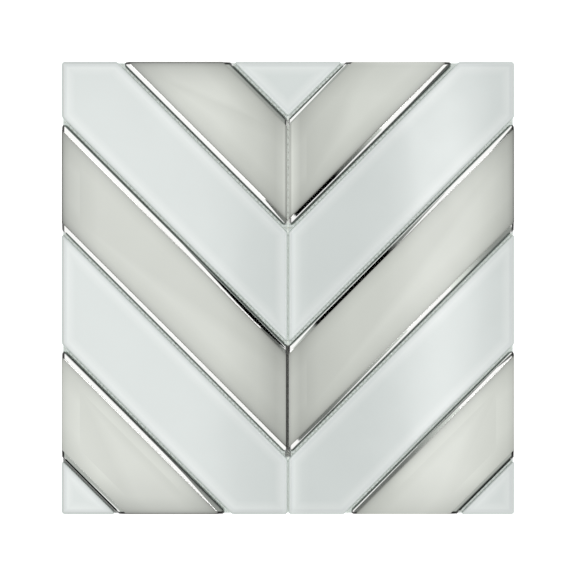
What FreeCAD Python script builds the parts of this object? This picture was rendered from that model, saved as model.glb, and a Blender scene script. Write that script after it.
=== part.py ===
# Chevron wall tile: a square mosaic sheet of thirteen glass chips on an open mesh backing.
# The chips are lengths of flat glass bar, cut at a slant and laid as nested V bands.
# Every other band is coloured glass with both long edges rounded over and plated with metal.
# The bands between them are white glass with a small rounding all round.
# The sheet lies face up: +X to the right, +Y to the top of the pattern, +Z out of the face.
# The origin is under the middle of the sheet, on the underside of the mesh. Sizes are in mm.

import FreeCAD, Part
import math
import os
from collections import namedtuple

import Sketcher

# Driving sizes: name, value, meaning
SIZES = (
    ("sheet_module", 300.0, "pattern repeat across: one sheet and the joint beside it"),
    ("cut_joint", 0.6, "gap at the straight cuts: centre line and sheet borders"),
    ("band_joint", 1.2, "gap between two bands, square to the bands"),
    ("glass_thickness", 8.0, "thickness of every chip"),
    ("plated_crown", 4.0, "radius of the plated long edges"),
    ("plated_arris", 0.8, "rounding of the cut ends of a plated chip"),
    ("white_round", 1.4, "rounding of the rim of a white chip"),
    ("face_tip_radius", 0.6, "plan radius of a sharp corner of the flat face"),
    ("face_square_radius", 0.8, "plan radius of a square corner of the flat face"),
    ("face_blunt_radius", 1.8, "plan radius of a blunt corner of the flat face"),
    ("thread_spacing", 20.0, "spacing of the mesh threads"),
    ("thread_width", 1.5, "width of a flat mesh thread"),
    ("thread_thickness", 0.4, "thickness of a mesh thread"),
    ("mesh_margin", 1.2, "how far the mesh ends inside the sheet's border"),
)

# The bands' slope to the level, in degrees. The sheet's height follows it, so that the
# same bands meet the same borders at any slope, and at 45 degrees the sheet is square.
SLANT = 45.0
BANDS_PER_MODULE = 4
TOOL_REACH = 2.0  # how far a cutting profile stands clear of the glass
NEAR = 1e-4  # points closer than this are one point

# Formulas on the driving sizes
SHEET_WIDTH = "(Sizes.sheet_module - Sizes.cut_joint)"
SHEET_HEIGHT = f"(Sizes.sheet_module * tan({SLANT} deg) - Sizes.cut_joint)"
BAND_PITCH = f"Sizes.sheet_module / {BANDS_PER_MODULE} * sin({SLANT} deg)"
HALF_CUT = "Sizes.cut_joint / 2"
HALF_BAND_JOINT = "Sizes.band_joint / 2"

# An edge of a chip's outline: the direction it faces, in degrees, and its distance from
# the middle of the sheet in that direction, as a formula
Edge = namedtuple("Edge", "facing reach")

# Chips of one half of the sheet: name, plated or not, band number, edges
# Band 0 runs through the middle of the sheet, and higher numbers lie nearer the top.
HALF_CHIPS = (
    ("plated_chip_top", True, 1, ("upper", "centre", "lower", "top")),
    ("white_chip_upper", False, 0, ("upper", "centre", "lower", "border", "top")),
    ("plated_chip_middle", True, -1, ("upper", "centre", "lower", "border")),
    ("white_chip_lower", False, -2, ("upper", "centre", "bottom", "lower", "border")),
    ("plated_chip_bottom", True, -3, ("upper", "bottom", "lower", "border")),
    ("white_chip_corner", False, -4, ("upper", "bottom", "border")),
)
TOP_TRIANGLE_BAND = 2
SIDES = (("left", -1), ("right", 1))

# Kinds of corner: name, widest inside angle in degrees, plan radius of the flat face there
CORNER_KINDS = (
    ("sharp", 70.0, "Sizes.face_tip_radius"),
    ("square", 110.0, "Sizes.face_square_radius"),
    ("blunt", 180.0, "Sizes.face_blunt_radius"),
)

doc = FreeCAD.newDocument("ChevronWallTile")


def fill_sheet():
    """The spreadsheet that holds the driving sizes."""
    sheet = doc.addObject("Spreadsheet::Sheet", "Sizes")
    for row, (name, value, meaning) in enumerate(SIZES, start=1):
        sheet.set(f"A{row}", name)
        sheet.set(f"B{row}", str(value))
        sheet.set(f"C{row}", meaning)
        sheet.setAlias(f"B{row}", name)
    doc.recompute()


def new_body(name, turn=0.0, height="0"):
    """A body with its own name, turned about Z and lifted to the height of its seat."""
    body = doc.addObject("PartDesign::Body", name)
    body.Label = name
    axis = FreeCAD.Vector(0, 0, 1)
    body.Placement = FreeCAD.Placement(FreeCAD.Vector(), FreeCAD.Rotation(axis, turn))
    body.setExpression("Placement.Base.z", height)
    return body


def origin_feature(body, role):
    """One of the body's own origin planes or axes."""
    return next(item for item in body.Origin.OriginFeatures if item.Role == role)


def new_sketch(body, name, plane="XY_Plane"):
    """An empty sketch on one of the body's origin planes."""
    sketch = body.newObject("Sketcher::SketchObject", name)
    sketch.AttachmentSupport = [(origin_feature(body, plane), "")]
    sketch.MapMode = "FlatFace"
    return sketch


def number(body, formula):
    """What a formula on the driving sizes gives now."""
    return float(body.evalExpression(formula))


def bind(sketch, formula, *constraint):
    """Add a dimension to a sketch and tie it to a formula on the driving sizes."""
    value = number(sketch, formula)
    index = sketch.addConstraint(Sketcher.Constraint(*constraint, value))
    sketch.setExpression(f"Constraints[{index}]", formula)


def join_ends(sketch, pieces):
    """Join the end of each piece of a closed outline to the start of the next."""
    for this, after in zip(pieces, pieces[1:] + pieces[:1]):
        sketch.addConstraint(Sketcher.Constraint("Coincident", this, 2, after, 1))


def chip_edges(kinds, band, side):
    """The edges of a chip of one half of the sheet."""
    lines = {
        "upper": Edge(90.0 - SLANT, f"({band} + 0.5) * {BAND_PITCH} - {HALF_BAND_JOINT}"),
        "lower": Edge(270.0 - SLANT, f"(0.5 - {band}) * {BAND_PITCH} - {HALF_BAND_JOINT}"),
        "centre": Edge(0.0, f"-{HALF_CUT}"),
        "border": Edge(180.0, f"{SHEET_WIDTH} / 2"),
        "top": Edge(90.0, f"{SHEET_HEIGHT} / 2"),
        "bottom": Edge(270.0, f"{SHEET_HEIGHT} / 2"),
    }
    edges = [lines[kind] for kind in kinds]
    if side > 0:
        edges = [Edge(180.0 - edge.facing, edge.reach) for edge in edges]
    return edges


def in_body(edges, turn):
    """The same edges as a turned body sees them, in order round the outline."""
    turned = [Edge(round(edge.facing - turn, 6) % 360.0, edge.reach) for edge in edges]
    return sorted(turned, key=lambda edge: edge.facing)


def meeting_point(body, first, second):
    """The corner where two edges of an outline meet."""
    a, b = math.radians(first.facing), math.radians(second.facing)
    reach_a, reach_b = number(body, first.reach), number(body, second.reach)
    spread = math.sin(b - a)
    x = (reach_a * math.sin(b) - reach_b * math.sin(a)) / spread
    y = (reach_b * math.cos(a) - reach_a * math.cos(b)) / spread
    return FreeCAD.Vector(x, y, 0)


def outline_corners(body, edges):
    """Each corner of an outline with its inside angle: the start of each edge."""
    corners = []
    for before, edge in zip(edges[-1:] + edges[:-1], edges):
        inside = 180.0 - (edge.facing - before.facing) % 360.0
        corners.append((meeting_point(body, before, edge), inside))
    return corners


def sketch_outline(body, edges):
    """A chip's outline: every edge set by its direction and its distance from the middle."""
    sketch = new_sketch(body, "outline")
    points = [point for point, inside in outline_corners(body, edges)]
    lines = []
    for start, end in zip(points, points[1:] + points[:1]):
        lines.append(sketch.addGeometry(Part.LineSegment(start, end)))
    join_ends(sketch, lines)
    for line, edge in zip(lines, edges):
        along = (edge.facing + 90.0) % 360.0
        if along % 180.0 == 0.0:
            sketch.addConstraint(Sketcher.Constraint("Horizontal", line))
        elif along % 90.0 == 0.0:
            sketch.addConstraint(Sketcher.Constraint("Vertical", line))
        else:
            sketch.addConstraint(Sketcher.Constraint("Angle", line, math.radians(along)))
        bind(sketch, f"abs({edge.reach})", "Distance", -1, 1, line)
    return sketch


def pad(body, sketch, name, length):
    """Extrude a sketch upwards."""
    feature = body.newObject("PartDesign::Pad", name)
    feature.Profile = sketch
    feature.setExpression("Length", length)
    doc.recompute()
    return feature


def upright_edges(shape, points):
    """Names of the vertical edges that stand on the given points."""
    names = []
    for index, edge in enumerate(shape.Edges, start=1):
        ends = [FreeCAD.Vector(vertex.X, vertex.Y, 0) for vertex in edge.Vertexes]
        if any(all(end.isEqual(point, NEAR) for end in ends) for point in points):
            names.append(f"Edge{index}")
    return names


def rim_edges(shape):
    """Names of the edges that bound the flat top of a chip."""
    top = shape.BoundBox.ZMax
    names = []
    for index, edge in enumerate(shape.Edges, start=1):
        if edge.BoundBox.ZMin > top - NEAR:
            names.append(f"Edge{index}")
    return names


def fillet(body, name, base, edge_names, radius):
    """Round some edges of the last feature."""
    feature = body.newObject("PartDesign::Fillet", name)
    feature.Base = (base, edge_names)
    feature.setExpression("Radius", radius)
    doc.recompute()
    return feature


def round_corners(body, base, edges, rim_radius):
    """Round the upright corners, so that the rim's rounding leaves the face its own radius."""
    corners = outline_corners(body, edges)
    narrowest = 0.0
    for kind, widest, face_radius in CORNER_KINDS:
        points = [point for point, inside in corners if narrowest < inside <= widest]
        narrowest = widest
        if points:
            names = upright_edges(base.Shape, points)
            radius = f"{rim_radius} + {face_radius}"
            base = fillet(body, f"{kind}_corners", base, names, radius)
    return base


def sketch_crown_waste(body, edges):
    """What is ground off above the two rounded long edges, seen along the band."""
    sketch = new_sketch(body, "crown_waste", "YZ_Plane")
    radius = number(body, "Sizes.plated_crown")
    top = number(body, "Sizes.glass_thickness")
    for edge in edges:
        if edge.facing not in (90.0, 270.0):
            continue
        way = 1 if edge.facing == 90.0 else -1
        wall = way * number(body, edge.reach)
        centre = FreeCAD.Vector(wall - way * radius, top - radius, 0)
        on_top = centre + FreeCAD.Vector(0, radius, 0)
        on_wall = centre + FreeCAD.Vector(way * radius, 0, 0)
        outside = on_wall + FreeCAD.Vector(way * TOOL_REACH, 0, 0)
        above = on_top + FreeCAD.Vector(0, TOOL_REACH, 0)
        far = FreeCAD.Vector(outside.x, above.y, 0)
        start, end = (0.0, math.pi / 2) if way > 0 else (math.pi / 2, math.pi)
        circle = Part.Circle(centre, FreeCAD.Vector(0, 0, 1), radius)
        arc = sketch.addGeometry(Part.ArcOfCircle(circle, start, end))
        wall_end, top_end = (1, 2) if way > 0 else (2, 1)
        run = [
            sketch.addGeometry(Part.LineSegment(on_top, above)),
            sketch.addGeometry(Part.LineSegment(above, far)),
            sketch.addGeometry(Part.LineSegment(far, outside)),
            sketch.addGeometry(Part.LineSegment(outside, on_wall)),
        ]
        for this, after in zip(run, run[1:]):
            sketch.addConstraint(Sketcher.Constraint("Coincident", this, 2, after, 1))
        sketch.addConstraint(Sketcher.Constraint("Coincident", arc, top_end, run[0], 1))
        sketch.addConstraint(Sketcher.Constraint("Coincident", arc, wall_end, run[3], 2))
        for line, rule in zip(run, ("Vertical", "Horizontal", "Vertical", "Horizontal")):
            sketch.addConstraint(Sketcher.Constraint(rule, line))
        sketch.addConstraint(Sketcher.Constraint("Vertical", arc, 3, arc, top_end))
        sketch.addConstraint(Sketcher.Constraint("Horizontal", arc, 3, arc, wall_end))
        bind(sketch, "Sizes.plated_crown", "Radius", arc)
        bind(sketch, f"{way} * ({edge.reach})", "DistanceX", -1, 1, run[3], 2)
        bind(sketch, "Sizes.glass_thickness", "DistanceY", -1, 1, run[0], 1)
        sketch.addConstraint(Sketcher.Constraint("DistanceY", run[0], 1, run[0], 2, TOOL_REACH))
        sketch.addConstraint(
            Sketcher.Constraint("DistanceX", run[3], 2, run[3], 1, way * TOOL_REACH))
    return sketch


def crown(body, base, edges):
    """Round both long edges over, right along the band and out through its cut ends."""
    feature = body.newObject("PartDesign::Pocket", "crowned_long_edges")
    feature.Profile = sketch_crown_waste(body, edges)
    feature.SideType = "Symmetric"
    feature.Type = "ThroughAll"
    doc.recompute()
    if feature.Shape.Volume >= base.Shape.Volume:
        raise RuntimeError(f"{body.Label}: the crown cut nothing")


def chip(name, edges, plated, turn):
    """One glass chip, seated on the mesh."""
    body = new_body(name, turn, "Sizes.thread_thickness")
    local = in_body(edges, turn)
    rim_radius = "Sizes.plated_arris" if plated else "Sizes.white_round"
    blank = pad(body, sketch_outline(body, local), "blank", "Sizes.glass_thickness")
    cornered = round_corners(body, blank, local, rim_radius)
    rimmed = fillet(body, "rim", cornered, rim_edges(cornered.Shape), rim_radius)
    if plated:
        crown(body, rimmed, local)
    return body


def top_triangle():
    """The white chip that fills the top of the V, in one piece across the centre line."""
    left = chip_edges(("lower", "top"), TOP_TRIANGLE_BAND, -1)
    right = chip_edges(("lower",), TOP_TRIANGLE_BAND, 1)
    return chip("white_chip_top_triangle", left + right, False, 0.0)


def sketch_rectangle(body, name, width, height, left, bottom):
    """A rectangular sketch, given by its sides and the place of its first corner."""
    sketch = new_sketch(body, name)
    x, y = number(body, left), number(body, bottom)
    across = FreeCAD.Vector(number(body, width), 0, 0)
    up = FreeCAD.Vector(0, number(body, height), 0)
    corner = FreeCAD.Vector(x, y, 0)
    points = [corner, corner + across, corner + across + up, corner + up]
    lines = []
    for start, end in zip(points, points[1:] + points[:1]):
        lines.append(sketch.addGeometry(Part.LineSegment(start, end)))
    join_ends(sketch, lines)
    for line, rule in zip(lines, ("Horizontal", "Vertical", "Horizontal", "Vertical")):
        sketch.addConstraint(Sketcher.Constraint(rule, line))
    bind(sketch, width, "DistanceX", lines[0], 1, lines[0], 2)
    bind(sketch, height, "DistanceY", lines[1], 1, lines[1], 2)
    bind(sketch, left, "DistanceX", -1, 1, lines[0], 1)
    bind(sketch, bottom, "DistanceY", -1, 1, lines[0], 1)
    return sketch


def backing_mesh():
    """The open mesh that holds the chips: flat threads both ways, bonded where they cross.

    It is the plain sheet that the threads span, less a grid of openings. The outermost row
    of openings runs off the sheet, so that the threads end as free stubs.
    """
    body = new_body("backing_mesh")
    opening = "(Sizes.thread_spacing - Sizes.thread_width)"
    spans, counts, reaches = [], [], []
    for sheet_side in (SHEET_WIDTH, SHEET_HEIGHT):
        span = f"({sheet_side} - 2 * Sizes.mesh_margin)"
        count = f"(floor(({span} - Sizes.thread_width) / Sizes.thread_spacing) + 2)"
        spans.append(span)
        counts.append(count)
        reaches.append(f"({count} - 1) * Sizes.thread_spacing")
    low_sides = [f"-{span} / 2" for span in spans]
    low_openings = [f"-{reach} / 2 - {opening} / 2" for reach in reaches]
    sheet = sketch_rectangle(body, "spanned_sheet", *spans, *low_sides)
    pad(body, sheet, "spanned", "Sizes.thread_thickness")
    pocket = body.newObject("PartDesign::Pocket", "first_opening")
    pocket.Profile = sketch_rectangle(body, "opening_plan", opening, opening, *low_openings)
    pocket.SideType = "Symmetric"
    pocket.Type = "ThroughAll"
    pocket.Refine = False
    grid = body.newObject("PartDesign::LinearPattern", "openings")
    grid.Originals = [pocket]
    grid.Refine = False
    grid.Direction = (origin_feature(body, "X_Axis"), [""])
    grid.Direction2 = (origin_feature(body, "Y_Axis"), [""])
    grid.Mode = "Extent"
    grid.Mode2 = "Extent"
    grid.setExpression("Length", reaches[0])
    grid.setExpression("Length2", reaches[1])
    grid.setExpression("Occurrences", counts[0])
    grid.setExpression("Occurrences2", counts[1])
    body.Tip = grid
    return body


def sound_shapes(bodies):
    """The shape of each body by its name. Stop if an object failed or a shape isn't sound."""
    for item in doc.Objects:
        if "Invalid" in item.State or "Error" in item.State:
            raise RuntimeError(f"{item.Label} failed: {item.State}")
    shapes = {body.Label: body.Shape for body in bodies}
    for name, shape in shapes.items():
        if shape.isNull() or not shape.isValid() or shape.Volume <= 0:
            raise RuntimeError(f"{name} has no sound shape")
    return shapes


def main():
    fill_sheet()
    bodies = [top_triangle()]
    for side_name, side in SIDES:
        for name, plated, band, kinds in HALF_CHIPS:
            edges = chip_edges(kinds, band, side)
            bodies.append(chip(f"{name}_{side_name}", edges, plated, side * SLANT))
    bodies.append(backing_mesh())
    doc.recompute()
    os.makedirs("parts", exist_ok=True)
    for name, shape in sound_shapes(bodies).items():
        shape.exportStep(f"parts/{name}.step")


main()
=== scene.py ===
# Chevron wall tile: the looks of a mosaic sheet of glass chips on its mesh, laid face up.
# Everything is in metres, in the frame of the CAD model: +Z out of the tile's face,
# +Y to the top of the pattern, and the origin under the middle of the sheet.
import math
from collections import namedtuple

import bmesh
import bpy
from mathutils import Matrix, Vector


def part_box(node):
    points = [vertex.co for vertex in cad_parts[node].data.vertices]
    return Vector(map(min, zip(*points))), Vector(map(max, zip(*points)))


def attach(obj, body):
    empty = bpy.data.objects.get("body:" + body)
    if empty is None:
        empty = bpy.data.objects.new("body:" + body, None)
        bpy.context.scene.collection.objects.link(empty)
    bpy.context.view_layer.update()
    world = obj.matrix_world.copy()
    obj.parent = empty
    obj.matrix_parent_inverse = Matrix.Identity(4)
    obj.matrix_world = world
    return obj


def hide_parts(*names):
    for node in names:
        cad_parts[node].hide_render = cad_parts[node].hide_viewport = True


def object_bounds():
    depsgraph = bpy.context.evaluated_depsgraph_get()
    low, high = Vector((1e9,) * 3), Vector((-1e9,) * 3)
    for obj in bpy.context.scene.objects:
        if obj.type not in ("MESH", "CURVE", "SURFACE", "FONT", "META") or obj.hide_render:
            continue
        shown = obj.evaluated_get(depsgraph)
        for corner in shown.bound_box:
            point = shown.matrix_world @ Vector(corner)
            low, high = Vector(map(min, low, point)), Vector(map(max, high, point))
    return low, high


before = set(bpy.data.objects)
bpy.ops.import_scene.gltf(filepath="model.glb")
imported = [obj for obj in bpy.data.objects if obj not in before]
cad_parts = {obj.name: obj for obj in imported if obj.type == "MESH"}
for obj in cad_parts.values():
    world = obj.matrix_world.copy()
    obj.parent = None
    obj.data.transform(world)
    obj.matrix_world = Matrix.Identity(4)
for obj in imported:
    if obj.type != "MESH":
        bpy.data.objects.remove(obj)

MM = 0.001

# The sheet as the CAD model has it
CAD_LOW, CAD_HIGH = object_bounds()
HALF_SHEET = CAD_HIGH.x
GLASS_TOP = CAD_HIGH.z
GLASS_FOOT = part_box("backing_mesh")[1].z

# Pattern and joints
CUT_JOINT = 0.6 * MM
BAND_JOINT = 1.2 * MM
SHEET_MODULE = 2 * HALF_SHEET + CUT_JOINT
SLANT = math.radians(45)
BAND_PITCH = SHEET_MODULE / 4 * math.sin(SLANT)
TOP_TRIANGLE_BAND = 2
# How far from the middle of the sheet the joints beside the bottom corner chips lie
CORNER_JOINT_REACH = 3.5 * BAND_PITCH

# Roundings of the glass
USUAL_CROWN = 4.0 * MM
PLATED_ARRIS = 0.8 * MM
WHITE_ROUND = 1.4 * MM
FOOT_BEVEL = 0.2 * MM
LEAST_RADIUS = 0.25 * MM
# Upright corners: up to how wide an angle, in degrees, each radius is used
PLATED_PLAN = ((70, 2.2 * MM), (110, 2.0 * MM), (180, 1.8 * MM))
WHITE_PLAN = ((70, 1.0 * MM), (110, 2.0 * MM), (180, 3.0 * MM))

# How finely the glass is meshed
ARC_STEPS = 8
CROWN_STEPS = 18
ARRIS_STEPS = 7
# Extra rings where a crown runs out into the flat face, by how many degrees it leans there
SEAM_TILTS = (1.2, 2.4, 3.7)
# Distances from the outline at which the flat face gets rings, on white chips and on all
WHITE_RINGS = (WHITE_ROUND + 0.3 * MM, 2 * WHITE_ROUND)
FACE_RINGS = (5.3 * MM, 6.4 * MM, 8.4 * MM, 12.0 * MM)
LEAST_RING_GAP = 0.03 * MM
# The deepest ring of a small chip, as a share of the circle that fits in the chip
DEEPEST_SHARE = 0.8
# Points on a straight run: how far apart they are, how many there are at each end, and up
# to which share of its length
RUN_STEP = 0.35 * MM
RUN_STEPS = 18
RUN_END_SHARE = 0.45
# Edges sharper than this aren't shaded smooth
CREASE = math.radians(32)
SAME_POINT = 1e-7

# How faces are told apart by their normals: how far an underside's points up at most, how
# far up one points that isn't of an upright side, and how far a side's points the way of
# the edge that it belongs to
UNDERSIDE = -0.5
UPRIGHT = 0.1
SAME_WAY = 0.85
# The distance to an edge that a chip doesn't have: past every shade
NO_EDGE = 1.0

# The mesh behind the chips
THREAD_PITCH = 5.0 * MM
THREAD_WIDTH = 1.1 * MM
THREAD_BODY = 0.22 * MM
THREAD_SIDES = 6
THREAD_END = 1.2 * MM

# The photographer's side
CAMERA_HEIGHT = 2.4
FIELD = 0.381
SENSOR = 36.0
WORLD_LIGHT = 1.2

# An edge of a chip's outline: the direction it faces, its distance from the middle of the
# sheet in that direction, whether it is a long edge of the band, and how it is plated
Edge = namedtuple("Edge", "facing reach long plating")
# The plating of a long edge: the radius of its crown, the dark line at its rim, which is
# painted reflection (how wide, 1 being about a millimetre, and how dark), and how dark the
# seam and the painted shade beside it are at the flat face
Plating = namedtuple("Plating", "crown line depth seam")
USUAL_PLATING = Plating(USUAL_CROWN, 1.2, 0.74, 1.0)
# The long edges that differ: kind, band, side
PLATINGS = {
    ("upper", 1, -1): Plating(3.7 * MM, 1.8, 0.8, 0.3),
    ("upper", 1, 1): Plating(3.4 * MM, 1.0, 0.7, 0.1),
    ("lower", 1, -1): Plating(4.0 * MM, 1.2, 0.74, 0.9),
    ("lower", 1, 1): Plating(4.6 * MM, 1.8, 0.8, 1.0),
    ("upper", -1, -1): Plating(4.8 * MM, 1.5, 0.7, 0.6),
    ("upper", -1, 1): Plating(4.0 * MM, 1.0, 0.65, 0.4),
    ("lower", -1, -1): Plating(3.6 * MM, 1.0, 0.6, 1.0),
    ("lower", -1, 1): Plating(4.0 * MM, 1.6, 0.7, 0.5),
    ("upper", -3, -1): Plating(4.8 * MM, 1.9, 0.82, 0.6),
    ("upper", -3, 1): Plating(4.0 * MM, 1.0, 0.7, 0.8),
    ("lower", -3, -1): Plating(3.6 * MM, 1.1, 0.94, 0.1),
    ("lower", -3, 1): Plating(3.6 * MM, 1.9, 0.94, 0.1),
}

# Chips of one half of the sheet: name, plated or not, how dark the painted shade at the end
# by the centre line is, how light its colour coat came out, band number, edges
HALF_CHIPS = (
    ("plated_chip_top", True, 0.0, 1.0, 1, ("upper", "centre", "lower", "top")),
    ("white_chip_upper", False, 0.0, 1.0, 0, ("upper", "centre", "lower", "border", "top")),
    ("plated_chip_middle", True, 1.0, 0.97, -1, ("upper", "centre", "lower", "border")),
    ("white_chip_lower", False, 0.0, 1.0, -2, ("upper", "centre", "bottom", "lower", "border")),
    ("plated_chip_bottom", True, 0.7, 1.09, -3, ("upper", "bottom", "lower", "border")),
    ("white_chip_corner", False, 0.0, 1.0, -4, ("upper", "bottom", "border")),
)
# The same two shades of the triangle at the top, which belongs to neither half
TRIANGLE_END_SHADE = 0.0
TRIANGLE_BATCH = 1.07

# How much of the usual painted shade a chip has along the outline of the sheet, where it
# isn't 1: at the left or right side, and at the top or bottom
BORDER_SHADES = {
    "plated_chip_top_right": (0.0, 0.0),
    "plated_chip_middle_right": (0.9, 0.9),
    "plated_chip_bottom_left": (0.4, 0.9),
    "plated_chip_bottom_right": (0.35, 0.1),
    "white_chip_upper_right": (0.0, 0.0),
    "white_chip_lower_right": (0.0, 0.0),
    "white_chip_corner_right": (0.0, 0.0),
}


# Outlines of the chips

def chip_edges(kinds, band, side):
    """The edges of a chip of the left half (side -1) or right half (side 1), in order."""
    quarter = math.pi / 2
    upper = (band + 0.5) * BAND_PITCH - BAND_JOINT / 2
    lower = (0.5 - band) * BAND_PITCH - BAND_JOINT / 2
    lines = {
        "upper": (quarter - SLANT, upper, True),
        "lower": (3 * quarter - SLANT, lower, True),
        "centre": (0.0, -CUT_JOINT / 2, False),
        "border": (2 * quarter, HALF_SHEET, False),
        "top": (quarter, HALF_SHEET, False),
        "bottom": (3 * quarter, HALF_SHEET, False),
    }
    edges = [Edge(*lines[kind], PLATINGS.get((kind, band, side), USUAL_PLATING))
             for kind in kinds]
    if side > 0:
        edges = [edge._replace(facing=(math.pi - edge.facing) % math.tau) for edge in edges]
    return sorted(edges, key=lambda edge: edge.facing)


def towards(angle):
    return Vector((math.cos(angle), math.sin(angle)))


def inside(edge, point):
    """How far a point lies inside an edge."""
    return edge.reach - point.dot(towards(edge.facing))


def nearest(edges, point):
    return min(edges, key=lambda edge: inside(edge, point))


def distance_from(edges, point):
    return min((inside(edge, point) for edge in edges), default=NO_EDGE)


def meeting_point(first, second, inset):
    """Where two edges meet once both are moved inwards."""
    spread = math.sin(second.facing - first.facing)
    a, b = first.reach - inset, second.reach - inset
    x = (a * math.sin(second.facing) - b * math.sin(first.facing)) / spread
    y = (b * math.cos(first.facing) - a * math.cos(second.facing)) / spread
    return Vector((x, y))


def polygon_corners(edges):
    return [meeting_point(a, b, 0.0) for a, b in zip(edges[-1:] + edges[:-1], edges)]


def plan_radius(before, edge, plated):
    """The radius of an upright corner, by how sharp the corner is."""
    corner = 180 - math.degrees((edge.facing - before.facing) % math.tau)
    radii = PLATED_PLAN if plated else WHITE_PLAN
    return next(radius for widest, radius in radii if corner <= widest)


def run_shares(length):
    """Places along a straight run, close together near its ends."""
    near = [step * RUN_STEP for step in range(1, RUN_STEPS + 1)]
    near = [distance / length for distance in near if distance < RUN_END_SHARE * length]
    return near + [0.5] + [1 - share for share in reversed(near)]


def outline(edges, runs, inset, plated):
    """The chip's outline, moved inwards: rounded corners and the runs between them."""
    arcs = []
    for before, edge in zip(edges[-1:] + edges[:-1], edges):
        radius = max(plan_radius(before, edge, plated) - inset, LEAST_RADIUS)
        centre = meeting_point(before, edge, inset + radius)
        turn = (edge.facing - before.facing) % math.tau
        arcs.append([centre + radius * towards(before.facing + turn * step / ARC_STEPS)
                     for step in range(ARC_STEPS + 1)])
    points = []
    for arc, following, run in zip(arcs, arcs[1:] + arcs[:1], runs):
        points += arc
        points += [arc[-1].lerp(following[0], share) for share in run]
    return points


def rounding_insets(radius, steps):
    """Distances from the wall that divide a quarter round into equal turns."""
    return [radius * (1 - math.cos(math.pi / 2 * step / steps)) for step in range(steps + 1)]


def round_drop(radius, distance):
    """How far a quarter round lies below the face, at a distance in from the wall."""
    if distance >= radius:
        return 0.0
    return radius - math.sqrt(radius ** 2 - (radius - distance) ** 2)


def ring_insets(crown, deepest):
    """The distances from the outline at which the top of a chip has a ring of points."""
    if crown:
        found = rounding_insets(crown, CROWN_STEPS)
        found += [crown * (1 - math.sin(math.radians(tilt))) for tilt in SEAM_TILTS]
        found += rounding_insets(PLATED_ARRIS, ARRIS_STEPS)
    else:
        found = rounding_insets(WHITE_ROUND, ARRIS_STEPS)
        found += WHITE_RINGS
    found += [inset for inset in FACE_RINGS if inset < deepest] + [deepest]
    kept = []
    for inset in sorted(found):
        if not kept or inset - kept[-1] > LEAST_RING_GAP:
            kept.append(inset)
    return kept


def deepest_inset(corners):
    """How far in the last ring lies: on a small chip, short of its middle."""
    pairs = list(zip(corners, corners[1:] + corners[:1]))
    area = sum(a.x * b.y - b.x * a.y for a, b in pairs) / 2
    girth = sum((b - a).length for a, b in pairs)
    return min(FACE_RINGS[-1], DEEPEST_SHARE * 2 * area / girth)


# Glass chips

def scene_object(name, mesh, materials=()):
    """Put a finished mesh in the scene."""
    data = bpy.data.meshes.new(name)
    mesh.to_mesh(data)
    mesh.free()
    for material in materials:
        data.materials.append(material)
    made = bpy.data.objects.new(name, data)
    bpy.context.scene.collection.objects.link(made)
    return made


def bridge(mesh, lower, upper):
    """Join two rings of points with faces."""
    for at, corner in enumerate(lower):
        after = (at + 1) % len(lower)
        mesh.faces.new((corner, lower[after], upper[after], upper[at]))


def chip_mesh(edges, long_edges, plated):
    """The shape of a chip: foot, walls, rounded rim and flat face."""
    mesh = bmesh.new()
    inset_layer = mesh.verts.layers.float.new("inset")
    corners = polygon_corners(edges)
    runs = [run_shares((b - a).length) for a, b in zip(corners, corners[1:] + corners[:1])]
    arris = PLATED_ARRIS if plated else WHITE_ROUND

    def ring(inset, height_of):
        made = []
        for point in outline(edges, runs, inset, plated):
            vertex = mesh.verts.new((point.x, point.y, height_of(point, inset)))
            vertex[inset_layer] = inset
            made.append(vertex)
        return made

    def top_height(point, inset):
        crown_drop = max((round_drop(edge.plating.crown, max(0.0, inside(edge, point)))
                          for edge in long_edges), default=0.0)
        return GLASS_TOP - crown_drop - round_drop(arris, inset)

    foot = ring(FOOT_BEVEL, lambda point, inset: GLASS_FOOT)
    for vertex in foot:
        vertex[inset_layer] = 0.0
    wall_foot = ring(0.0, lambda point, inset: GLASS_FOOT + FOOT_BEVEL)
    crown = max((edge.plating.crown for edge in long_edges), default=0.0)
    rings = [ring(inset, top_height) for inset in ring_insets(crown, deepest_inset(corners))]
    for lower, upper in zip([foot, wall_foot] + rings, [wall_foot] + rings):
        bridge(mesh, lower, upper)
    mesh.faces.new(rings[-1])
    mesh.faces.new(list(reversed(foot)))

    for edge in long_edges:
        way = towards(edge.facing)
        line = (edge.reach - edge.plating.crown) * way
        bmesh.ops.bisect_plane(
            mesh, geom=mesh.verts[:] + mesh.edges[:] + mesh.faces[:], dist=SAME_POINT,
            plane_co=(line.x, line.y, 0.0), plane_no=(way.x, way.y, 0.0))
    mesh.normal_update()
    return mesh


def is_plated(face, long_edges):
    """Whether a face lies on a plated long edge. The upright side of a cut end doesn't."""
    middle = face.calc_center_median()
    for edge in long_edges:
        way = towards(edge.facing)
        if inside(edge, middle.xy) < edge.plating.crown:
            if abs(face.normal.z) > UPRIGHT or face.normal.xy.dot(way) > SAME_WAY:
                return True
    return False


def finish_faces(mesh, long_edges):
    """Smooth the faces up to the creases. The materials are 0 glass, 1 back and 2 metal."""
    for face in mesh.faces:
        face.smooth = True
        if face.normal.z < UNDERSIDE:
            face.material_index = 1
        elif is_plated(face, long_edges):
            face.material_index = 2
    for rim in mesh.edges:
        if rim.is_manifold and rim.calc_face_angle(0.0) > CREASE:
            rim.smooth = False


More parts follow.
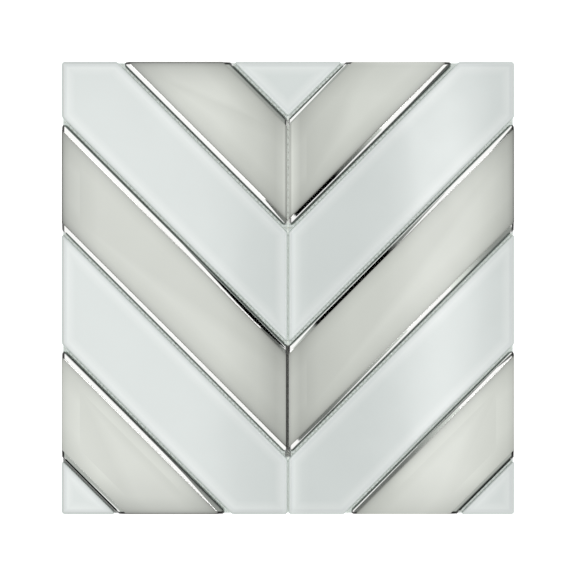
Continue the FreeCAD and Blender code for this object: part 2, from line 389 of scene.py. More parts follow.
def mark_points(mesh, name, edges, long_edges, end_shade, batch):
    """Store at each point of a chip what its materials read there."""
    centre_edges = [edge for edge in edges if not edge.long and edge.reach < 0]
    border_edges = [edge for edge in edges if not edge.long and edge.reach > 0]
    beside, above = BORDER_SHADES.get(name, (1.0, 1.0))
    labels = ("from_plating", "rim_line", "rim_depth", "seam", "from_centre", "from_border",
              "end_shade", "border_shade", "batch")
    layers = {label: mesh.verts.layers.float.new(label) for label in labels}
    for vertex in mesh.verts:
        point = vertex.co.xy
        values = {
            "from_centre": distance_from(centre_edges, point),
            "from_border": distance_from(border_edges, point),
            "end_shade": end_shade,
            "batch": batch,
        }
        if long_edges:
            rim = nearest(long_edges, point)
            values["from_plating"] = inside(rim, point) - rim.plating.crown
            values["rim_line"] = rim.plating.line
            values["rim_depth"] = rim.plating.depth
            values["seam"] = rim.plating.seam
        if border_edges:
            outwards = towards(nearest(border_edges, point).facing)
            values["border_shade"] = beside if abs(outwards.x) > abs(outwards.y) else above
        for label, value in values.items():
            vertex[layers[label]] = value


def chip_piece(name, edges, plated, end_shade, batch, materials):
    """A glass chip, with its plating if it has any."""
    long_edges = [edge for edge in edges if edge.long and plated]
    mesh = chip_mesh(edges, long_edges, plated)
    finish_faces(mesh, long_edges)
    mark_points(mesh, name, edges, long_edges, end_shade, batch)
    piece = scene_object("glass_" + name, mesh, materials)
    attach(piece, "root")
    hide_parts(name)


# Materials

# How far the ramps of painted shade and highlights reach: across a rim, and along a chip from its
# end
SHADE_REACH = 16 * MM
END_REACH = 60 * MM
# The slow wave of drawn glass, which bends what the face mirrors
WAVE_SCALE = 26.0
WAVE_HEIGHT = 0.05 * MM
# Cloudiness: the scale of its noise, and the span of a noise that counts
CLOUD_SCALE = 18.0
NOISE_SPAN = (0.3, 0.7)
# How far up a normal points where the tone of the side has given way to that of the face
FACE_TILT = 0.35
# How high the colour coat shows on the side of a chip, and from where the glass is clear
COAT_HEIGHT = 0.5 * MM
CLEAR_HEIGHT = 0.7 * MM
# The painted shade of white glass by the centre line ends at 0.87, which this makes about 1 again
CENTRE_LIFT = (1.15, 1.15, 1.15, 1.0)
# Beige glass darkens towards the bottom of the sheet as painted shade: over how far, and to
# what share
LOW_END = 35 * MM
LOW_END_SHADE = 0.88
# Least and greatest roughness
GLASS_ROUGHNESS = (0.03, 0.09)
METAL_ROUGHNESS = (0.03, 0.06)
BACK_ROUGHNESS = (0.5, 0.7)
THREAD_ROUGHNESS = (0.4, 0.65)
# Scales of the other noises, and the heights of those that are relief
POLISH_SCALE = 60.0
BACK_GRAIN_SCALE = 900.0
BACK_GRAIN_HEIGHT = 0.05 * MM
BACK_PATCH_SCALE = 35.0
BACK_PATCH_SHADE = 0.92
RIPPLE_SCALE = 90.0
RIPPLE_HEIGHT = 0.02 * MM
MARK_SCALE = 1500.0
FIBRE_SCALE = 2600.0
FIBRE_HEIGHT = 0.06 * MM
THREAD_PATCH_SCALE = 140.0
# The coating of the threads lets light through, and bends it little
THREAD_CLEARNESS = 0.85
THREAD_IOR = 1.1


def linear(*levels):
    """A colour given as display levels from 0 to 255, as the shader takes it (sRGB curve)."""
    def one(level):
        share = level / 255
        if share <= 0.04045:
            return share / 12.92
        return ((share + 0.055) / 1.055) ** 2.4
    return tuple(one(level) for level in levels) + (1.0,)


def lit(*levels):
    """The surface colour that shows as these levels in the studio's light."""
    return tuple(share / WORLD_LIGHT for share in linear(*levels)[:3]) + (1.0,)


def shares(*levels):
    """Shares of brightness, from 0 to 1, as greys for a ramp. Their places are in mm."""
    return [(place * MM, (share, share, share, 1.0)) for place, share in levels]


class Shader:
    """A node material in the making."""

    def __init__(self, name):
        self.material = bpy.data.materials.new(name)
        self.material.use_nodes = True
        self.tree = self.material.node_tree
        self.tree.nodes.clear()
        self.output = self.node("ShaderNodeOutputMaterial")

    def node(self, kind, inputs=None, **settings):
        """Add a node. An input is a plain value, or the output of another node."""
        made = self.tree.nodes.new(kind)
        for key, value in settings.items():
            setattr(made, key, value)
        for key, value in (inputs or {}).items():
            if isinstance(value, bpy.types.NodeSocket):
                self.tree.links.new(value, made.inputs[key])
            else:
                made.inputs[key].default_value = value
        return made

    def maths(self, operation, *values):
        made = self.node("ShaderNodeMath", dict(enumerate(values)), operation=operation)
        return made.outputs[0]

    def between(self, share, low, high):
        """The low value where the share is 0, and the high one where it is 1."""
        return self.maths("MULTIPLY_ADD", share, high - low, low)

    def attribute(self, name):
        return self.node("ShaderNodeAttribute", attribute_name=name).outputs["Fac"]

    def place(self, kind="Object"):
        return self.node("ShaderNodeTexCoord").outputs[kind]

    def coordinate(self, axis, kind="Object"):
        """One coordinate of a place, or of the normal there."""
        return self.node("ShaderNodeSeparateXYZ", {0: self.place(kind)}).outputs[axis]

    def noise(self, scale, detail=2.0):
        inputs = {"Vector": self.place(), "Scale": scale, "Detail": detail}
        return self.node("ShaderNodeTexNoise", inputs).outputs["Fac"]

    def spread(self, value, first, last):
        """0 where the value is at the first one given and 1 at the last, smooth between."""
        inputs = {"Value": value, "From Min": first, "From Max": last}
        made = self.node("ShaderNodeMapRange", inputs, interpolation_type="SMOOTHSTEP")
        return made.outputs["Result"]

    def ramp(self, value, reach, stops):
        """Colours at given places, in metres, up to a reach."""
        made = self.node("ShaderNodeValToRGB", {"Fac": self.maths("DIVIDE", value, reach)})
        elements = made.color_ramp.elements
        while len(elements) > 1:
            elements.remove(elements[-1])
        for number, (place, colour) in enumerate(stops):
            stop = elements[0] if number == 0 else elements.new(place / reach)
            stop.position = place / reach
            stop.color = colour
        return made.outputs["Color"]

    def mix(self, share, first, second, blend="MIX"):
        """Two colours, mixed. The sockets of this node for colours go by number only."""
        made = self.node("ShaderNodeMix", {0: share, 6: first, 7: second},
                         data_type="RGBA", blend_type=blend)
        return made.outputs[2]

    def times(self, colour, *others):
        """Colours multiplied with each other."""
        for other in others:
            colour = self.mix(1.0, colour, other, "MULTIPLY")
        return colour

    def grey(self, value):
        """A number as a colour."""
        inputs = {"Red": value, "Green": value, "Blue": value}
        return self.node("ShaderNodeCombineColor", inputs).outputs[0]

    def bump(self, height, distance):
        inputs = {"Height": height, "Distance": distance, "Strength": 1.0}
        return self.node("ShaderNodeBump", inputs).outputs["Normal"]

    def finish(self, last):
        self.tree.links.new(last.outputs[0], self.output.inputs["Surface"])
        return self.material

    def veil(self, share, light, colour=(1.0, 1.0, 1.0, 1.0)):
        """A glow that is there only to a given share."""
        glow = self.node("ShaderNodeEmission", {"Strength": light, "Color": colour})
        clear = self.node("ShaderNodeBsdfTransparent")
        return self.finish(self.node("ShaderNodeMixShader", {
            0: share, 1: clear.outputs[0], 2: glow.outputs[0]}))

    def surface(self, inputs):
        return self.finish(self.node("ShaderNodeBsdfPrincipled", inputs))


def left_half(shader):
    """1 on the left of the centre line, and 0 on its right."""
    return shader.maths("LESS_THAN", shader.coordinate("X"), 0.0)


def corner_joint(shader):
    """1 in the joint beside a bottom corner chip, with the rims there, and 0 elsewhere."""
    across = shader.maths("ABSOLUTE", shader.coordinate("X"))
    down = shader.maths("MULTIPLY", shader.coordinate("Y"), -math.cos(SLANT))
    reach = shader.maths("MULTIPLY_ADD", across, math.sin(SLANT), down)
    return shader.maths("COMPARE", reach, CORNER_JOINT_REACH, BAND_JOINT)


def left_corner_joint(shader):
    """The same for the left one only, which lies in the shade."""
    return shader.maths("MULTIPLY", corner_joint(shader), left_half(shader))


def wall_tone(shader, coat, foot_glass, top_glass):
    """The side of a chip: its colour coat at the foot, and glass above it."""
    above_foot = shader.maths("SUBTRACT", shader.coordinate("Z"), GLASS_FOOT)
    thickness = GLASS_TOP - GLASS_FOOT
    return shader.ramp(above_foot, thickness, (
        (0.0, coat), (COAT_HEIGHT, coat), (CLEAR_HEIGHT, foot_glass), (thickness, top_glass)))


def polished(shader, face_tone, wall, cloud, ior):
    """Finish a glass material: side walls, cloudiness, gloss and a slow wave."""
    on_top = shader.spread(shader.coordinate("Z", "Normal"), 0.0, FACE_TILT)
    tone = shader.mix(on_top, wall, face_tone)
    clouds = shader.spread(shader.noise(CLOUD_SCALE, detail=3.0), *NOISE_SPAN)
    lightness = shader.between(clouds, 1.0 - cloud / 2, 1.0 + cloud / 2)
    return shader.surface({
        "Base Color": shader.times(tone, shader.grey(lightness)),
        "Roughness": shader.between(shader.noise(POLISH_SCALE), *GLASS_ROUGHNESS),
        "IOR": ior,
        "Normal": shader.bump(shader.noise(WAVE_SCALE, detail=1.0), WAVE_HEIGHT),
    })


def white_glass():
    """White glass: its grey-green edge with painted shade at the rim, a lighter painted highlight
    band inside it, then the face.
    """
    shader = Shader("white_glass")
    # Painted shade and a painted highlight across the rounded rim
    rim = shader.ramp(shader.attribute("inset"), SHADE_REACH, (
        (0.0, lit(176, 187, 182)),
        (0.7 * MM, lit(204, 211, 208)),
        (1.3 * MM, lit(216, 221, 219)),
        (2.6 * MM, lit(217, 222, 221)),
        (4.0 * MM, lit(222, 227, 225)),
        (5.3 * MM, lit(219, 224, 222)),
        (9.2 * MM, lit(212, 218, 216)),
    ))
    # Painted shade along the outline of the sheet
    from_border = shader.attribute("from_border")
    usual_border = shader.ramp(from_border, SHADE_REACH, shares(
        (0.0, 0.86), (0.8, 0.84), (1.6, 0.89), (2.8, 0.93), (4.2, 0.98), (6.0, 0.98)))
    pale_border = shader.ramp(from_border, SHADE_REACH, shares(
        (0.0, 0.94), (0.8, 0.92), (2.8, 0.92), (4.2, 0.955), (6.0, 0.97)))
    at_border = shader.mix(shader.attribute("border_shade"), pale_border, usual_border)
    # Painted shade and a painted highlight line beside the centre line, different on each side
    from_centre = shader.attribute("from_centre")
    left_centre = shader.ramp(from_centre, SHADE_REACH, shares(
        (0.0, 1.0), (0.5, 1.0), (1.2, 0.86), (1.8, 0.89), (2.5, 0.93), (3.8, 0.87), (8.0, 0.86),
        (14.0, 0.87)))
    right_centre = shader.ramp(from_centre, SHADE_REACH, shares(
        (0.0, 1.0), (0.5, 1.0), (1.2, 0.83), (1.8, 0.88), (2.5, 0.965), (3.6, 0.955),
        (5.6, 0.92), (8.0, 0.9), (14.0, 0.87)))
    at_centre = shader.mix(left_half(shader), right_centre, left_centre)
    face = shader.times(rim, at_border, shader.times(at_centre, CENTRE_LIFT),
                        shader.grey(shader.attribute("batch")))
    wall = wall_tone(shader, linear(236, 236, 236), linear(214, 224, 219), linear(202, 215, 209))
    # Painted shade: the side of a chip is dark in the shaded joint beside the left corner chip
    wall = shader.mix(left_corner_joint(shader), wall, linear(54, 62, 58))
    return polished(shader, face, wall, cloud=0.02, ior=1.5)


def beige_glass():
    """Beige glass: a dark seam inside the plating with painted shade beside it, painted shade and
    highlights at the cut ends and along the outline, and so a lighter middle.
    """
    shader = Shader("beige_glass")
    from_plating = shader.attribute("from_plating")
    # The dark seam at the plating's inner edge, with painted shade darkening the face towards the
    # plating
    seam_and_painted_shade = shader.ramp(from_plating, SHADE_REACH, (
        (0.0, lit(124, 125, 119)),
        (0.4 * MM, lit(132, 133, 127)),
        (0.8 * MM, lit(168, 170, 164)),
        (1.6 * MM, lit(178, 181, 175)),
        (2.6 * MM, lit(188, 191, 185)),
        (5.0 * MM, lit(198, 201, 194)),
        (14.0 * MM, lit(210, 213, 206)),
    ))
    painted_shade_without_seam = shader.ramp(from_plating, SHADE_REACH, (
        (0.0, lit(196, 199, 192)),
        (14.0 * MM, lit(210, 213, 206)),
    ))
    along_plating = shader.mix(shader.attribute("seam"), painted_shade_without_seam, seam_and_painted_shade)
    # Painted shade and highlights at the rounded cut end by the centre line, and painted shade
    # over the end of the chip
    from_centre = shader.attribute("from_centre")
    dark_left = shader.ramp(from_centre, END_REACH, shares(
        (0.0, 0.01), (0.8, 0.02), (1.0, 0.3), (1.25, 0.7), (2.2, 0.77), (3.4, 0.79),
        (8.0, 0.76), (20.0, 0.92), (42.0, 1.02)))
    dark_right = shader.ramp(from_centre, END_REACH, shares(
        (0.0, 0.04), (0.2, 0.1), (0.4, 0.7), (1.1, 0.78), (2.2, 0.86), (3.4, 0.87),
        (8.0, 0.78), (20.0, 0.92), (42.0, 1.02)))
    pale_left = shader.ramp(from_centre, END_REACH, shares(
        (0.0, 1.0), (0.25, 0.85), (0.5, 0.52), (1.4, 0.64), (1.8, 0.95), (2.5, 0.96),
        (3.6, 0.88), (8.0, 0.81), (20.0, 0.92), (42.0, 1.02)))
    pale_right = shader.ramp(from_centre, END_REACH, shares(
        (0.0, 1.0), (0.6, 0.8), (1.2, 0.72), (1.7, 0.9), (2.5, 1.1), (3.6, 1.01), (8.0, 0.82),
        (20.0, 0.92), (42.0, 1.02)))
    left = left_half(shader)
    at_centre = shader.mix(shader.attribute("end_shade"),
                           shader.mix(left, pale_right, pale_left),
                           shader.mix(left, dark_right, dark_left))
    # Painted shade along the outline of the sheet
    from_border = shader.attribute("from_border")
    usual_border = shader.ramp(from_border, END_REACH, shares(
        (0.0, 0.12), (0.4, 0.25), (1.0, 0.47), (1.7, 0.6), (3.4, 0.72), (5.0, 0.78),
        (9.0, 0.85), (14.0, 0.92), (24.0, 1.0)))
    pale_border = shader.ramp(from_border, END_REACH, shares(
        (0.0, 0.92), (1.0, 0.9), (3.4, 0.9), (5.0, 0.92), (14.0, 0.95), (24.0, 1.0)))
    at_border = shader.mix(shader.attribute("border_shade"), pale_border, usual_border)
    # Painted shade towards the bottom of the sheet
    above_bottom = shader.spread(shader.coordinate("Y"), -HALF_SHEET, LOW_END - HALF_SHEET)
    low_end = shader.between(above_bottom, LOW_END_SHADE, 1.0)
    face = shader.times(along_plating, at_centre, at_border, shader.grey(low_end),
                        shader.grey(shader.attribute("batch")))
    wall = wall_tone(shader, lit(214, 214, 206), lit(176, 182, 172), lit(140, 146, 136))
    return polished(shader, face, wall, cloud=0.03, ior=1.38)


def painted_back(name, colour):
    """The back of a chip: its colour coat, matt and slightly uneven."""
    shader = Shader(name)
    grain = shader.noise(BACK_GRAIN_SCALE, detail=3.0)
    patches = shader.spread(shader.noise(BACK_PATCH_SCALE, detail=4.0), *NOISE_SPAN)
    lightness = shader.between(patches, BACK_PATCH_SHADE, 1.0)
    return shader.surface({
        "Base Color": shader.times(colour, shader.grey(lightness)),
        "Roughness": shader.between(grain, *BACK_ROUGHNESS),
        "Normal": shader.bump(grain, BACK_GRAIN_HEIGHT),
    })


def bright_plating():
    """Bright metal on the rounded long edges, with a faint ripple and fine polishing marks, and
    painted dark reflection and shade at its rim, its cut ends and the outline.
    """
    shader = Shader("bright_plating")
    marks = shader.noise(MARK_SCALE)
    bright = shader.mix(marks, lit(248, 248, 246), lit(254, 254, 252))
    # Painted reflection: a dark band on the outer part of the crown, where the metal mirrors the
    # dark joint; painted shade in the joints beside the bottom corner chips
    share_in = shader.maths("DIVIDE", shader.attribute("inset"), shader.attribute("rim_line"))
    painted_dark_rim = shader.ramp(share_in, USUAL_CROWN, shares(
        (0.0, 0.0), (0.25, 0.1), (0.45, 1.0), (0.8, 1.0), (1.0, 0.5), (1.25, 0.0)))
    painted_dark_rim = shader.maths("MAXIMUM", painted_dark_rim, corner_joint(shader))
    lost = shader.maths("MULTIPLY", painted_dark_rim, shader.attribute("rim_depth"))
    kept = shader.maths("SUBTRACT", 1.0, lost)
    # Painted shade at the cut ends by the centre line and along the outline of the sheet
    dark_end = shader.ramp(shader.attribute("from_centre"), USUAL_CROWN, shares(
        (0.0, 0.04), (0.5, 0.06), (0.9, 0.5), (1.2, 1.0)))
    at_centre = shader.mix(shader.attribute("end_shade"), (1.0, 1.0, 1.0, 1.0), dark_end)
    at_border = shader.ramp(shader.attribute("from_border"), USUAL_CROWN, shares(
        (0.0, 0.4), (0.8, 0.5), (1.1, 0.1), (1.5, 0.1), (1.9, 1.0)))
    return shader.surface({
        "Base Color": shader.times(bright, shader.grey(kept), at_centre, at_border),
        "Metallic": 1.0,
        "Roughness": shader.between(marks, *METAL_ROUGHNESS),
        "Normal": shader.bump(shader.noise(RIPPLE_SCALE), RIPPLE_HEIGHT),
    })


def mesh_thread():
    """Coated glass fibre."""
    shader = Shader("mesh_thread")
    fibres = shader.noise(FIBRE_SCALE)
    patches = shader.noise(THREAD_PATCH_SCALE, detail=3.0)
    return shader.surface({
        "Base Color": shader.mix(patches, linear(240, 240, 236), linear(250, 250, 247)),
        "Transmission Weight": THREAD_CLEARNESS,
        "IOR": THREAD_IOR,
        "Roughness": shader.between(fibres, *THREAD_ROUGHNESS),
        "Normal": shader.bump(fibres, FIBRE_HEIGHT),
    })


# The mesh

def ribbon(mesh, points, across):
    """One flat thread along a line of points, with a domed cross-section."""
    rings = []
    for point in points:
        ring = []
        for step in range(THREAD_SIDES):
            angle = math.tau * step / THREAD_SIDES
            offset = across * (THREAD_WIDTH / 2 * math.cos(angle))
            lift = Vector((0, 0, THREAD_BODY / 2 * math.sin(angle)))
            ring.append(mesh.verts.new(point + offset + lift))
        rings.append(ring)
    for first, second in zip(rings, rings[1:]):
        bridge(mesh, first, second)
    mesh.faces.new(list(reversed(rings[0])))
    mesh.faces.new(rings[-1])


def backing(material):
    """The woven mesh: threads both ways that pass over and under each other."""
    mesh = bmesh.new()
    middle = GLASS_FOOT / 2
    swing = (GLASS_FOOT - THREAD_BODY) / 2
    reach = HALF_SHEET - THREAD_END
    count = int(reach // THREAD_PITCH)
    stops = [-reach] + [step * THREAD_PITCH for step in range(-count, count + 1)] + [reach]
    for number in range(-count, count + 1):
        place = number * THREAD_PITCH
        for lengthwise in (True, False):
            line = []
            for at, stop in enumerate(stops):
                way = 1 if (number + at + lengthwise) % 2 else -1
                height = middle + way * swing
                x, y = (place, stop) if lengthwise else (stop, place)
                line.append(Vector((x, y, height)))
            across = Vector((1, 0, 0)) if lengthwise else Vector((0, -1, 0))
            ribbon(mesh, line, across)
    bmesh.ops.recalc_face_normals(mesh, faces=mesh.faces[:])
    for face in mesh.faces:
        face.smooth = True
    piece = scene_object("woven_mesh", mesh, [material])
    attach(piece, "root")
    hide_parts("backing_mesh")


def build_tile():
    white = [white_glass(), painted_back("white_back", lit(226, 228, 226))]
    beige = [beige_glass(), painted_back("beige_back", lit(196, 192, 180)), bright_plating()]
    left = chip_edges(("lower", "top"), TOP_TRIANGLE_BAND, -1)
    right = chip_edges(("lower",), TOP_TRIANGLE_BAND, 1)
    triangle = sorted(left + right, key=lambda edge: edge.facing)
    chip_piece("white_chip_top_triangle", triangle, False, TRIANGLE_END_SHADE, TRIANGLE_BATCH,
               white)
    for side_name, side in (("left", -1), ("right", 1)):
        for name, plated, end_shade, batch, band, kinds in HALF_CHIPS:
            edges = chip_edges(kinds, band, side)
            materials = beige if plated else white
            chip_piece(f"{name}_{side_name}", edges, plated, end_shade, batch, materials)
    backing(mesh_thread())


# Surroundings

FLOOR_HALF = 4.0
FLOOR_PAINT = (linear(250, 250, 250), linear(252, 252, 252))
FLOOR_SPECK_SCALE = 40.0
FLOOR_GLOW = (0.42, 0.42, 0.42, 1.0)
# The floor under the tile, which shows in the joints: how far in from the outline it
# begins, its paint, dark as painted shade, and its glow, painted light that sets how light
# the joints look, also at the centre line and in the shade
UNDER_MARGIN = 0.5 * MM
UNDER_SHADE_PAINT = linear(56, 62, 60)
UNDER_GLOW = linear(196, 203, 199)
CENTRE_GLOW = (0.92, 0.98, 0.95, 1.0)
SHADE_GLOW = linear(118, 120, 118)
# How far the painted light strip and the painted shade reach from the centre line
CENTRE_STRIP = 0.45 * MM
SHADE_STRIP = 2 * MM
# The part of the centre line where the floor's glow is darkened as painted shade, between
# the two middle plated chips: its middle and half its length
SHADED_JOINT = (-75 * MM, 37 * MM)

# Level cards far above: name, height, the place where the faces mirror its middle, half the
# sides of its mirror image, its light, and over which shares of those it fades out
OVERHEADS = (
    ("dark_overhead", 8.2, (0, 0), (0.176, 0.176), 0.0, 0.12, 0.12),
    ("left_soft_light", 8.0, (-0.1155, 0.0), (0.0975, 0.185), 3.1, 0.38, 0.3),
    ("right_soft_light", 8.0, (0.102, 0.0), (0.039, 0.185), 5.2, 0.9, 0.4),
)

# Small cards that the plating mirrors: how far off they are, their colour, and how finely
# they are meshed round the crown and along the edge
FLAG_DISTANCE = 120 * MM
FLAG_COLOUR = (0.94, 1.0, 0.94, 1.0)
FLAG_STEP = math.radians(2)
FLAG_RUN = 3.0 * MM
# How far a ray may be off square to a card, as 1 less the cosine: not seen, and seen in full
LOUVRE = tuple(1 - math.cos(math.radians(angle)) for angle in (2.7, 1.6))
# Each card's name, which edge mirrors it (kind, band, side), and its stations on the edge
FLAGS = (
    ("flag_a", "lower", 1, 1, (37, 0.53, 0.99, 0.0), (74, 0.51, 0.99, 0.0),
     (80, 0.55, 0.99, 0.12), (95, 0.6, 0.99, 0.22), (118, 0.64, 0.99, 0.8)),
    ("flag_b", "lower", 1, 1, (116, 0.38, 0.39, 0.1), (144, 0.38, 0.43, 0.1),
     (160, 0.38, 0.52, 0.1), (180, 0.38, 0.62, 0.15)),
    ("flag_c", "upper", -1, 1, (-26, 0.85, 0.99, 0.8), (-12, 0.62, 0.99, 0.45),
     (-7, 0.55, 0.99, 0.38), (-3, 0.45, 0.99, 0.0), (64, 0.42, 0.98, 0.0), (72, 0.43, 0.95, 0.22),
     (86, 0.43, 0.8, 0.3), (98, 0.43, 0.65, 0.35), (118, 0.43, 0.5, 0.5)),
    ("flag_d", "upper", -1, -1, (-68, 0.38, 0.4, 0.15), (-48, 0.38, 0.52, 0.1),
     (-32, 0.38, 0.68, 0.0), (-16, 0.38, 0.8, 0.0), (0, 0.38, 0.86, 0.0), (22, 0.4, 0.64, 0.0),
     (26, 0.43, 0.55, 0.0)),
    ("flag_e", "upper", -1, -1, (6, 0.8, 0.99, 0.2), (22, 0.64, 0.99, 0.15),
     (30, 0.6, 0.99, 0.4)),
    ("flag_f", "lower", 1, -1, (-52, 0.85, 0.99, 0.2), (-46, 0.72, 0.99, 0.15),
     (-40, 0.55, 0.99, 0.2), (-32, 0.42, 0.99, 0.27), (-22, 0.42, 0.99, 0.27)),
    ("flag_g", "lower", -1, 1, (-66, 0.5, 0.99, 0.2), (-40, 0.43, 0.99, 0.22),
     (-24, 0.52, 0.99, 0.3), (-8, 0.58, 0.99, 0.4), (10, 0.64, 0.99, 0.5), (36, 0.7, 0.99, 0.9)),
    ("flag_h", "lower", -1, 1, (76, 0.38, 0.99, 1.1), (88, 0.38, 0.99, 0.85),
     (104, 0.38, 0.99, 0.45), (116, 0.38, 0.99, 0.33), (133, 0.38, 0.99, 0.33)),
    ("flag_i", "upper", -3, 1, (-74, 0.5, 0.99, 0.19), (-30, 0.42, 0.99, 0.2),
     (-18, 0.4, 0.99, 0.28), (-8, 0.42, 0.99, 0.42), (8, 0.5, 0.99, 0.7), (24, 0.6, 0.99, 0.95)),
    ("flag_j", "upper", -3, 1, (-14, 0.38, 0.4, 0.2), (8, 0.38, 0.55, 0.2), (40, 0.38, 0.54, 0.2),
     (60, 0.38, 0.46, 0.2), (68, 0.45, 0.7, 0.15), (78, 0.5, 0.95, 0.15)),
    ("flag_k", "upper", -3, -1, (-16, 0.38, 0.39, 0.15), (8, 0.38, 0.42, 0.13),
     (24, 0.38, 0.46, 0.15), (40, 0.38, 0.54, 0.25), (56, 0.38, 0.75, 0.35),
     (76, 0.38, 0.99, 0.38)),
    ("flag_l", "upper", 1, -1, (-134, 0.4, 0.99, 0.52), (-112, 0.38, 0.99, 0.42),
     (-76, 0.38, 0.99, 0.38)),
    ("flag_m", "upper", 1, 1, (78, 0.78, 0.99, 0.5), (104, 0.66, 0.99, 0.5),
     (120, 0.52, 0.99, 0.48), (133, 0.46, 0.99, 0.48)),
    ("flag_n", "lower", -3, -1, (-29, 0.38, 0.99, 0.54), (-8, 0.38, 0.99, 0.54),
     (6, 0.48, 0.99, 0.54), (29, 0.54, 0.99, 0.52)),
    ("flag_o", "lower", -3, 1, (-29, 0.45, 0.99, 0.52), (29, 0.43, 0.99, 0.5)),
    ("flag_p", "upper", 1, -1, (-134, 0.38, 0.55, 0.23), (-106, 0.38, 0.5, 0.2),
     (-96, 0.38, 0.4, 0.2)),
    ("flag_q", "upper", -1, 1, (160, 0.94, 0.99, 0.4), (172, 0.75, 0.99, 0.2),
     (180, 0.6, 0.99, 0.1), (190, 0.5, 0.99, 0.1)),
)


def studio_piece(name, mesh, normals=()):
    """Put a piece of the studio in the scene. It is no part of the tile."""
    made = scene_object(name, mesh)
    if normals:
        made.data.normals_split_custom_set_from_vertices(normals)
    return made


def panel(name, centre, half_width, half_depth):
    """A level rectangle of the studio."""
    ways = ((-1, -1), (1, -1), (1, 1), (-1, 1))
    mesh = bmesh.new()
    mesh.faces.new([mesh.verts.new(Vector(centre) + Vector((a * half_width, b * half_depth, 0)))
                    for a, b in ways])
    return studio_piece(name, mesh)


def floor():
    """A white light table that glows a little. Under the tile it has painted light and shade:
    dark paint, a glow set for the joints, lighter at the centre line and darker in the shaded
    joints.
    """
    made = panel("floor", (0, 0, 0), FLOOR_HALF, FLOOR_HALF)
    shader = Shader("pale_floor")
    across, up = (shader.maths("ABSOLUTE", shader.coordinate(axis)) for axis in "XY")
    outwards = shader.maths("MAXIMUM", across, up)
    beyond = shader.maths("GREATER_THAN", outwards, HALF_SHEET - UNDER_MARGIN)
    # Painted light in a strip under the centre joint, and painted shade under the shaded joints
    at_centre = shader.maths("LESS_THAN", across, CENTRE_STRIP)
    shaded = shader.maths("MULTIPLY", shader.maths("LESS_THAN", across, SHADE_STRIP),
                          shader.maths("COMPARE", shader.coordinate("Y"), *SHADED_JOINT))
    shaded = shader.maths("MAXIMUM", shaded, left_corner_joint(shader))
    under = shader.mix(at_centre, UNDER_GLOW, CENTRE_GLOW)
    under = shader.mix(shaded, under, SHADE_GLOW)
    specks = shader.mix(shader.noise(FLOOR_SPECK_SCALE, detail=4.0), *FLOOR_PAINT)
    made.data.materials.append(shader.surface({
        "Base Color": shader.mix(beyond, UNDER_SHADE_PAINT, specks),
        "Roughness": 0.9,
        "Emission Color": shader.mix(beyond, under, FLOOR_GLOW),
        "Emission Strength": 1.0,
    }))


def mirrored_only(made):
    """Let a card be seen in reflections and nowhere else."""
    made.visible_camera = False
    made.visible_diffuse = False
    made.visible_transmission = False
    made.visible_volume_scatter = False
    made.visible_shadow = False


def overhead(name, height, place, half, light, soft_x, soft_y):
    """A level card far above the sheet, which the flat faces mirror."""
    grown = 1 + height / CAMERA_HEIGHT
    centre = (place[0] * grown, place[1] * grown, height)
    made = panel(name, centre, half[0] * grown, half[1] * grown)
    shader = Shader(name)

    def fading(axis, soft):
        off_middle = shader.maths("SUBTRACT", shader.coordinate(axis, "Generated"), 0.5)
        return shader.spread(shader.maths("ABSOLUTE", off_middle), 0.5, 0.5 - 0.5 * soft)

    kept = shader.maths("MULTIPLY", fading("X", soft_x), fading("Y", soft_y))
    made.data.materials.append(shader.veil(kept, light))
    mirrored_only(made)


def mirrored_place(edge, along, tilt):
    """The place that a plated edge mirrors to the camera, a little way off, and its way back.

    Along and tilt say where on the edge: tilt is how far its surface leans outwards.
    All such places are equally far from the camera by way of the mirror, so that a card
    through them faces every ray squarely.
    """
    way = towards(edge.facing)
    side = Vector((-way.y, way.x))
    if side.x < 0:
        side.negate()
    crown = edge.plating.crown
    flat = (edge.reach - crown * (1 - math.sin(tilt))) * way + along * side
    height = GLASS_TOP - crown * (1 - math.cos(tilt))
    spot = Vector((flat.x, flat.y, height))
    normal = Vector((way.x * math.sin(tilt), way.y * math.sin(tilt), math.cos(tilt)))
    sight = spot - Vector((0, 0, CAMERA_HEIGHT))
    away = CAMERA_HEIGHT - GLASS_TOP + FLAG_DISTANCE - sight.length
    way_out = sight.normalized().reflect(normal)
    return spot + away * way_out, -way_out


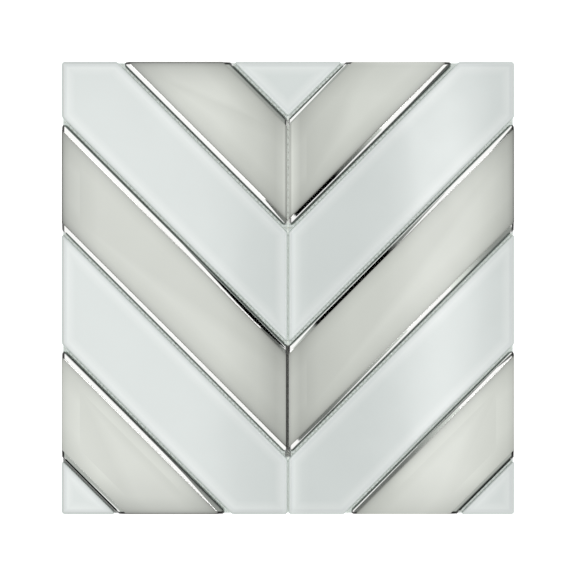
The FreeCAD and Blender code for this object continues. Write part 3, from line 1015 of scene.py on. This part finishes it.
def flag(name, kind, band, side, *stations):
    """A small curved card above a plated edge, which mirrors it.

    Each station says where its image lies and how light it is: the place along the edge in
    mm, its outer and inner side as shares of the crown's width, and its light.
    The card is seen only square on, so other edges and the flat glass don't mirror it.
    """
    edge = chip_edges((kind,), band, side)[0]
    mesh = bmesh.new()
    glow_layer = mesh.verts.layers.float.new("glow")
    lines = [Vector(stations[0])]
    for first, second in zip(stations, stations[1:]):
        steps = math.ceil((second[0] - first[0]) * MM / FLAG_RUN)
        lines += [Vector(first).lerp(Vector(second), step / steps)
                  for step in range(1, steps + 1)]
    spans = [[math.asin(1 - share) for share in (outer, inner)]
             for along, outer, inner, light in lines]
    count = math.ceil(max(steep - flat for steep, flat in spans) / FLAG_STEP)
    columns = []
    normals = []
    for (along, outer, inner, light), (steep, flat) in zip(lines, spans):
        column = []
        for number in range(count + 1):
            tilt = flat + (steep - flat) * number / count
            place, normal = mirrored_place(edge, along * MM, tilt)
            normals.append(normal)
            column.append(mesh.verts.new(place))
            column[-1][glow_layer] = light
        columns.append(column)
    for first, second in zip(columns, columns[1:]):
        for number in range(count):
            mesh.faces.new((first[number], second[number], second[number + 1],
                            first[number + 1])).smooth = True
    made = studio_piece(name, mesh, normals)
    shader = Shader(name)
    askew = shader.node("ShaderNodeLayerWeight", {"Blend": 0.5}).outputs["Facing"]
    seen = shader.spread(askew, *LOUVRE)
    made.data.materials.append(shader.veil(seen, shader.attribute("glow"), FLAG_COLOUR))
    mirrored_only(made)


def light_and_camera():
    world = bpy.data.worlds.new("studio")
    bpy.context.scene.world = world
    world.use_nodes = True
    background = world.node_tree.nodes["Background"]
    background.inputs["Color"].default_value = (1, 1, 1, 1)
    background.inputs["Strength"].default_value = WORLD_LIGHT
    for row in OVERHEADS:
        overhead(*row)
    for row in FLAGS:
        flag(*row)

    lens = bpy.data.cameras.new("camera")
    lens.sensor_width = SENSOR
    lens.lens = SENSOR * (CAMERA_HEIGHT - GLASS_TOP) / FIELD
    camera = bpy.data.objects.new("camera", lens)
    camera.location = (0, 0, CAMERA_HEIGHT)
    bpy.context.scene.collection.objects.link(camera)
    bpy.context.scene.camera = camera
    bpy.context.scene.view_settings.view_transform = "Standard"


build_tile()
floor()
light_and_camera()
